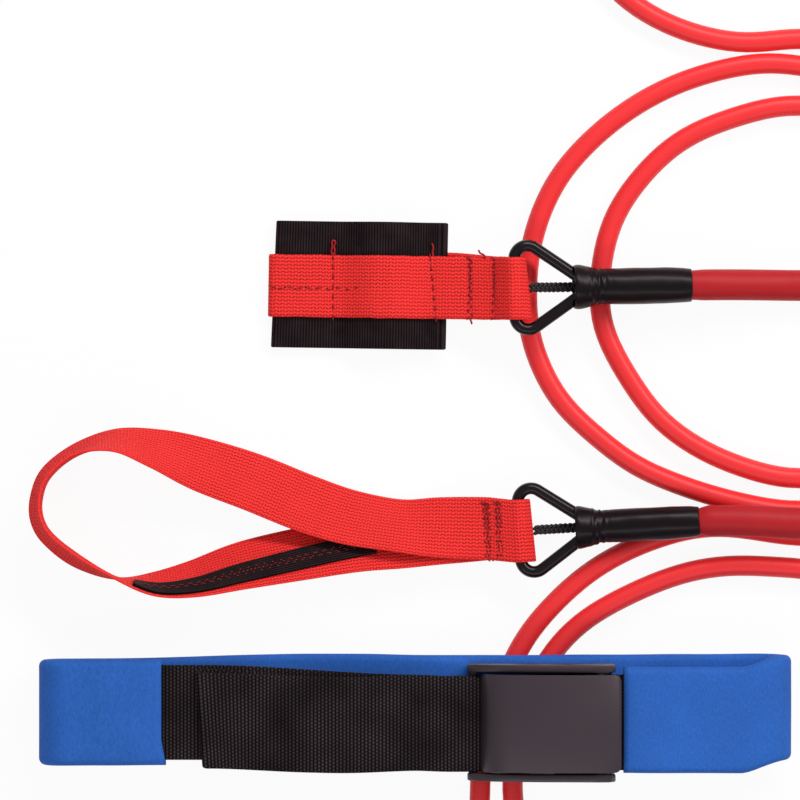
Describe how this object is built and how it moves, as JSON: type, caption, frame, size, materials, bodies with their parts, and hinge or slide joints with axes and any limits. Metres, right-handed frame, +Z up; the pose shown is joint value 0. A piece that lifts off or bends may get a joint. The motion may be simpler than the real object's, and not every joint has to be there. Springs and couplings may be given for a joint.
{
  "type": "swim resistance belt",
  "caption": "Swim resistance belt: foam-padded black waist belt with a cam buckle, and a red rubber tether with a webbing slider at one end and an anchor loop at the other.",
  "frame": {"origin": "bottom centre of the box of everything but the free rubber tube, on the floor", "axes": "+X to the right along the belt, +Y from the belt towards the slider, +Z up from the floor"},
  "size_m": [0.5264, 0.6043, 0.0475],
  "materials": {
    "red_rubber": "satin",
    "dull_red_rubber": "satin",
    "black_shrink": "satin",
    "red_webbing": "woven",
    "black_webbing": "woven",
    "blue_foam": "matte, finely ribbed foam",
    "black_plastic": "satin",
    "black_enamel": "gloss",
    "steel": "brushed"
  },
  "bodies": {
    "tether_and_belt": {"resistance_tube": "red_rubber", "tube_end_a": "red_rubber", "tube_end_b": "red_rubber", "end_sleeve_a": "dull_red_rubber", "end_sleeve_b": "dull_red_rubber", "boot_a": "black_shrink", "boot_b": "black_shrink", "end_plug_a": "black_plastic", "end_plug_b": "black_plastic", "tube_clamp_a": "steel", "tube_clamp_b": "steel", "ring_a": "black_enamel", "ring_b": "black_enamel", "safety_cord_a": "black_webbing", "safety_cord_b": "black_webbing", "foam_sleeve": "blue_foam", "belt_webbing": "black_webbing", "buckle_frame": "black_plastic", "buckle_pin": "steel"},
    "slider": {"slider_sleeve": "black_webbing", "slider_strap": "red_webbing"},
    "anchor_loop": {"anchor_strap": "red_webbing", "grip_strip": "black_webbing"},
    "lever": {"buckle_lever": "black_plastic"},
    "tail": {"belt_tail": "black_webbing"}
  },
  "joints": [
    {"name": "slider_swing", "type": "hinge", "parent": "tether_and_belt", "child": "slider", "pos_m": [0.0483, 0.1101, 0.0224], "axis": [-0.0157, 0.9999, 0], "range_deg": [-45, 120]},
    {"name": "anchor_swing", "type": "hinge", "parent": "tether_and_belt", "child": "anchor_loop", "pos_m": [0.0509, -0.0159, 0.0144], "axis": [-0.0541, 0.9985, 0], "range_deg": [-45, 120]},
    {"name": "lever_open", "type": "hinge", "parent": "tether_and_belt", "child": "lever", "pos_m": [0.0925, -0.1144, 0.0372], "axis": [0, 1, 0], "range_deg": [0, 50]},
    {"name": "tail_pull", "type": "slide", "parent": "tether_and_belt", "child": "tail", "axis": [-1, 0, 0], "range_m": [-0.03, 0.015]}
  ]
}
